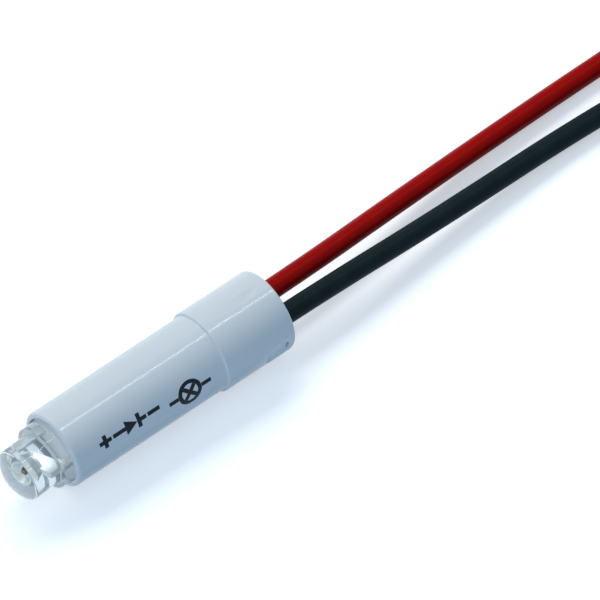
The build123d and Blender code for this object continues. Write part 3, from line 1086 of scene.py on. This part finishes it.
# %% Tin the wires and flow the solder
def dipped_metal(name, dull, bright, lump, depth):
    """Metal that froze in soft lumps of one size and depth."""
    material, tree, place = new_material(name)
    lumps = add_node(tree, "TexNoise", {"Vector": place}, Scale=1 / lump, Detail=2)
    flux = add_node(tree, "TexNoise", {"Vector": place}, Scale=1 / (0.8 * MM), Detail=3)
    # The eye gets bright metal that is duller and browner where flux has dried
    stained = add_node(tree, "MixRGB", {"Fac": flux}, Color1=colour(dull), Color2=colour(bright))
    frost = add_node(tree, "MapRange", {"Value": flux}, To_Min=0.42, To_Max=0.2)
    frozen = add_node(tree, "Bump", {"Height": lumps}, Strength=1, Distance=depth)
    use_shader(tree, add_node(
        tree, "BsdfPrincipled",
        {"Base Color": stained, "Roughness": frost, "Normal": frozen},
        Metallic=1.0,
    ))
    return material


dress(
    dipped_metal("tinned_copper", "#A9A294", "#D9D7D0", 0.25 * MM, 0.01 * MM),
    strands["red"], strands["black"],
    *(nodes[f"{part}_{end}_lead"] for part in ("resistor", "diode") for end in ("front", "rear")),
    nodes["red_core_inner"], nodes["black_core_inner"],
)
dress(
    dipped_metal("frozen_solder", "#9FA1A2", "#D3D6D8", 0.6 * MM, 0.05 * MM),
    *(nodes[joint + "_joint"] for joint in ("anode", "cathode", "red", "black")),
)

# %% [markdown]
# ## Resistor lacquer
#
# The sleeve hides the resistor, the rectifier diode and their shrink tubes, but a file that can
# be opened up should show what is there. The resistor is dipped in beige lacquer and has four
# colour bands. A band is wherever the distance along X to its middle is under half its width.

# %% Lacquer the resistor
def in_band(tree, along, middle, width):
    """1 in a band across X and 0 outside it."""
    return add_node(tree, "Math", {0: along, 1: middle, 2: width / 2}, operation="COMPARE")


lacquer, tree, place = new_material("banded_lacquer")
along = add_node(tree, "SeparateXYZ", {0: place}).outputs["X"]
runs = add_node(tree, "TexNoise", {"Vector": place}, Scale=1 / (0.7 * MM), Detail=2)
# The eye gets a warm beige coat, slightly uneven where it ran before it dried
coat = add_node(tree, "MixRGB", {"Fac": runs}, Color1=colour("#BFA371"), Color2=colour("#D3BC8E"))
resistor_front_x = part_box("resistor_body")[0].x
band_width = 0.55 * MM
# How far each band's middle is from the resistor's front, in millimetres, and its colour
for offset, band in ((0.8, "#A81E12"), (2.1, "#A81E12"), (3.1, "#A81E12"), (5.4, "#B08A2E")):
    coat = add_node(
        tree, "MixRGB",
        {"Fac": in_band(tree, along, resistor_front_x + offset * MM, band_width), "Color1": coat},
        Color2=colour(band),
    )
sags = add_node(tree, "Bump", {"Height": runs}, Strength=1, Distance=0.03 * MM)
use_shader(tree, add_node(
    tree, "BsdfPrincipled", {"Base Color": coat, "Normal": sags},
    Roughness=0.25, IOR=1.5,
))
dress(lacquer, nodes["resistor_body"])

# %% [markdown]
# ## Diode moulding
#
# The diode is moulded in black epoxy. Its mineral filler leaves a skin like very fine grit, and
# the cathode's end is marked with one printed grey band, made as the resistor's bands are.

# %% Mould the diode
cathode_band_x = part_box("diode_body")[1].x - 0.85 * MM
cathode_band_width = 0.7 * MM
moulding, tree, place = new_material("banded_black_moulding")
along = add_node(tree, "SeparateXYZ", {0: place}).outputs["X"]
grit = add_node(tree, "TexNoise", {"Vector": place}, Scale=1 / (0.07 * MM), Detail=3)
# The eye gets a matt black with a fine grit, and one grey printed band
black = add_node(
    tree, "MixRGB", {"Fac": grit},
    Color1=colour("#121212"), Color2=colour("#242424"),
)
banded = add_node(
    tree, "MixRGB",
    {"Fac": in_band(tree, along, cathode_band_x, cathode_band_width), "Color1": black},
    Color2=colour("#B9BBBC"),
)
gritty = add_node(tree, "Bump", {"Height": grit}, Strength=1, Distance=0.006 * MM)
use_shader(tree, add_node(
    tree, "BsdfPrincipled",
    {"Base Color": banded, "Normal": gritty},
    Roughness=0.55, IOR=1.55,
))
dress(moulding, nodes["diode_body"])

# %% [markdown]
# ## Shrink tube
#
# The tubes over the joints are polyolefin, which draws down when it is heated and stays a dull
# black. It wrinkles finely as it shrinks, so the noise is squeezed along X and the wrinkles run
# round the tube.

# %% Shrink the tubes
shrunk, tree, place = new_material("shrunk_polyolefin")
drawn_down = add_node(
    tree, "Mapping", {"Vector": place},
    Scale=(1 / (0.2 * MM), 1 / (0.7 * MM), 1 / (0.7 * MM)),
)
wrinkles = add_node(tree, "TexNoise", {"Vector": drawn_down}, Scale=1, Detail=2)
# The eye gets a dull black skin with fine wrinkles round the tube
dull = add_node(
    tree, "MixRGB", {"Fac": wrinkles},
    Color1=colour("#161616"), Color2=colour("#222324"),
)
wrinkled = add_node(tree, "Bump", {"Height": wrinkles}, Strength=1, Distance=0.02 * MM)
use_shader(tree, add_node(
    tree, "BsdfPrincipled",
    {"Base Color": dull, "Normal": wrinkled},
    Roughness=0.55, IOR=1.5,
))
dress(shrunk, *(nodes[tube + "_shrink"] for tube in ("anode", "cathode", "red", "black")))

# %% [markdown]
# ## The size of the result
#
# The model in Blender has to stay inside the box of the CAD model, because other parts are fitted
# to that box. The view layer is updated last, so that every piece's place is current.

# %% Update the view layer and finish
bpy.context.view_layer.update()
